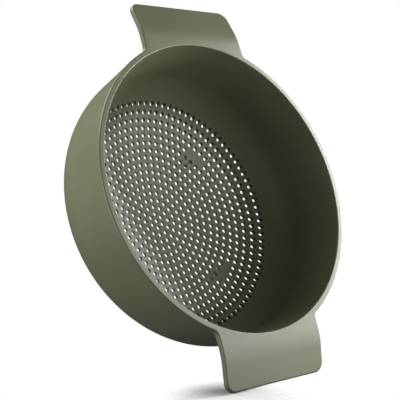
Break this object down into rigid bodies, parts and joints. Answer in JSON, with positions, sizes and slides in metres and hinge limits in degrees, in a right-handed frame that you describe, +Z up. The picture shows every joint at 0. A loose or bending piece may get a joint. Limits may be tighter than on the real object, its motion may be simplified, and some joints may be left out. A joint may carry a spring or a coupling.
{
  "type": "colander",
  "caption": "Round plastic colander with a dished perforated base, a smooth tapered wall, broad carrying tabs at the rim and short feet under the base.",
  "frame": {"origin": "on the table under the middle of the bowl, in the plane of the feet", "axes": "+Z up along the bowl's axis out of its mouth, +X along the line through both carrying tabs"},
  "size_m": [0.3034, 0.24, 0.103],
  "materials": {
    "olive_plastic": "dark olive green moulded plastic with a fine satin surface"
  },
  "bodies": {
    "root": {"strainer_base": "olive_plastic", "bowl_corner": "olive_plastic", "bowl_wall": "olive_plastic", "rim_band": "olive_plastic", "handle_right": "olive_plastic", "handle_left": "olive_plastic", "foot_1": "olive_plastic", "foot_2": "olive_plastic", "foot_3": "olive_plastic", "foot_4": "olive_plastic"}
  },
  "joints": []
}
